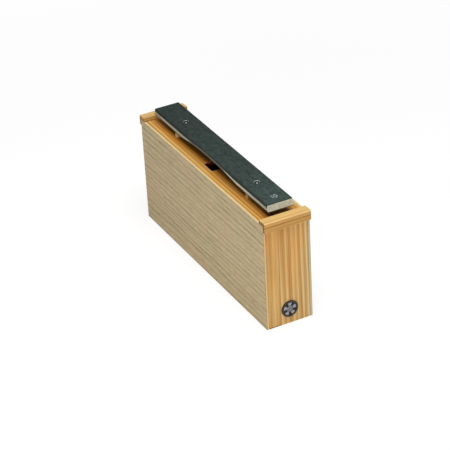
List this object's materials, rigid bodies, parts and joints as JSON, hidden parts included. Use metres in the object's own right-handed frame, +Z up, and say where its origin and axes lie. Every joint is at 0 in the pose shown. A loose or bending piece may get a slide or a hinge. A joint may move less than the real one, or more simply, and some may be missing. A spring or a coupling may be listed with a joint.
{
  "type": "resonator bar",
  "caption": "Bass resonator bar: a dark coated metal sound bar with an arched underside, lifting off sleeved pins and felt supports over a closed wooden sound box with a slot.",
  "frame": {"origin": "on the floor, under the middle of the box", "axes": "+X along the box towards the end with the badge, +Y towards the rear side panel, +Z up"},
  "size_m": [0.49, 0.093, 0.2384],
  "materials": {
    "side_plywood": "matt clear lacquer on pale plywood",
    "end_pine": "satin lacquer on striped pine",
    "top_pine": "satin lacquer on pine",
    "bottom_plywood": "bare plywood",
    "rail_pine": "satin lacquer on pine",
    "bridge_pine": "bare pine",
    "support_felt": "pressed wool felt",
    "pin_steel": "bright drawn steel",
    "sleeve_rubber": "soft black tube",
    "bar_metal": "dark grey coat on top, bare metal on the ends and lower sides",
    "badge_metal": "dark rim with a pale field"
  },
  "bodies": {
    "sound_box": {"front_side_panel": "side_plywood", "rear_side_panel": "side_plywood", "near_end_board": "end_pine", "far_end_board": "end_pine", "top_board": "top_pine", "bottom_board": "bottom_plywood", "near_end_rail": "rail_pine", "far_end_rail": "rail_pine", "near_bridge": "bridge_pine", "far_bridge": "bridge_pine", "near_support_felt": "support_felt", "far_support_felt": "support_felt", "near_guide_pin": "pin_steel", "far_guide_pin": "pin_steel", "near_pin_sleeve": "sleeve_rubber", "far_pin_sleeve": "sleeve_rubber", "end_badge": "badge_metal"},
    "bar": {"sound_bar": "bar_metal"}
  },
  "joints": [
    {"name": "bar_lift", "type": "slide", "parent": "sound_box", "child": "bar", "axis": [0, 0, 1], "range_m": [0, 0.04]}
  ]
}
